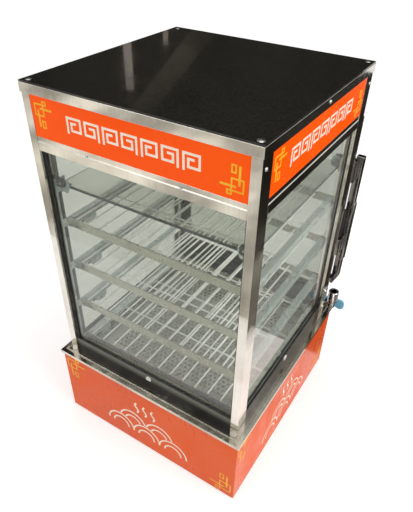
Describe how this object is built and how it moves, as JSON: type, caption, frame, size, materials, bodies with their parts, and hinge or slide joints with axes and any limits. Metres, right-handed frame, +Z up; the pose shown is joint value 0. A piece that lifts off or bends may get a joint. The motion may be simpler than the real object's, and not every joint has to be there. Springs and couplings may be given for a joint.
{
  "type": "hot food display case",
  "caption": "Countertop steam-heated display case for buns: glazed cabinet on corner posts with wire shelves and a rear door, on a base with a water tank, filling cock and controls.",
  "frame": {"origin": "middle of the bounding box's footprint, on the surface that the rubber feet stand on", "axes": "+Z up along the cabinet's height, -Y towards the front sign and pane, +Y towards the rear door and the cock, +X to the right seen from the front"},
  "size_m": [0.3984, 0.4372, 0.6585],
  "materials": {
    "mirror_steel": "mirror-polished stainless steel sheet",
    "dark_steel": "black gloss coating on folded sheet",
    "black_roof": "black high-gloss enamel that mirrors its surroundings",
    "sign_orange": "lit orange acrylic sign panel, satin gloss",
    "clear_glass": "clear float glass, faint green edge",
    "black_rubber": "black moulded rubber, matte",
    "satin_steel": "satin stainless steel sheet and wire",
    "orange_enamel": "vermilion enamel on steel sheet, semi-gloss",
    "chrome_plate": "bright chrome plate on brass",
    "blue_coating": "light-blue plastic-coated metal wings",
    "black_plastic": "black moulded plastic, fine grain",
    "red_plastic": "translucent red moulded plastic",
    "lamp_glass": "white frosted lamp tube",
    "white_plastic": "white moulded plastic"
  },
  "bodies": {
    "case": {"post_front_right": "mirror_steel", "post_front_left": "mirror_steel", "post_rear_right": "mirror_steel", "post_rear_left": "mirror_steel", "header_front": "mirror_steel", "header_right": "mirror_steel", "header_left": "mirror_steel", "header_rear": "mirror_steel", "sign_front": "sign_orange", "sign_right": "sign_orange", "sign_left": "sign_orange", "sill_front": "dark_steel", "sill_right": "dark_steel", "sill_left": "dark_steel", "sill_rear": "dark_steel", "front_glass": "clear_glass", "front_gasket": "black_rubber", "right_glass": "clear_glass", "left_glass": "clear_glass", "right_gasket": "black_rubber", "left_gasket": "black_rubber", "roof_lid": "mirror_steel", "roof_panel": "black_roof", "inner_ceiling": "satin_steel", "lamp_tube": "lamp_glass", "lamp_holder_right": "white_plastic", "lamp_holder_left": "white_plastic", "base_housing": "orange_enamel", "base_bottom_plate": "satin_steel", "foot_front_left": "black_rubber", "foot_front_right": "black_rubber", "foot_rear_left": "black_rubber", "foot_rear_right": "black_rubber", "rim_tray": "mirror_steel", "water_tank": "satin_steel", "heater_element": "satin_steel", "steam_plate": "satin_steel", "shelf_rack_right": "satin_steel", "shelf_rack_left": "satin_steel", "drip_plate": "clear_glass", "shelf_1": "satin_steel", "shelf_2": "satin_steel", "shelf_3": "satin_steel", "shelf_4": "satin_steel", "hinge_lower": "mirror_steel", "hinge_upper": "mirror_steel", "feed_pipe": "chrome_plate", "valve_body": "chrome_plate", "switch_housing": "black_plastic", "thermostat_body": "satin_steel", "pilot_lamp": "red_plastic", "cord_gland": "black_plastic"},
    "door": {"door_frame": "mirror_steel", "door_glass": "clear_glass", "door_gasket": "black_rubber", "door_pull": "mirror_steel", "pull_grip": "black_plastic"},
    "cock_handle": {"valve_handle": "blue_coating"},
    "rocker": {"switch_rocker": "red_plastic"},
    "knob": {"thermostat_knob": "black_plastic"}
  },
  "joints": [
    {"name": "door_hinge", "type": "hinge", "parent": "case", "child": "door", "pos_m": [-0.18945, 0.1643, 0.38], "axis": [0, 0, 1], "range_deg": [0, 120]},
    {"name": "cock_turn", "type": "hinge", "parent": "case", "child": "cock_handle", "pos_m": [0.16225, 0.2111, 0.146], "axis": [0, 1, 0], "range_deg": [0, 90]},
    {"name": "switch_rock", "type": "hinge", "parent": "case", "child": "rocker", "pos_m": [-0.12575, 0.1803, 0.095], "axis": [1, 0, 0], "range_deg": [0, 16]},
    {"name": "knob_turn", "type": "hinge", "parent": "case", "child": "knob", "pos_m": [-0.06975, 0.1806, 0.095], "axis": [0, -1, 0], "range_deg": [0, 270]}
  ]
}
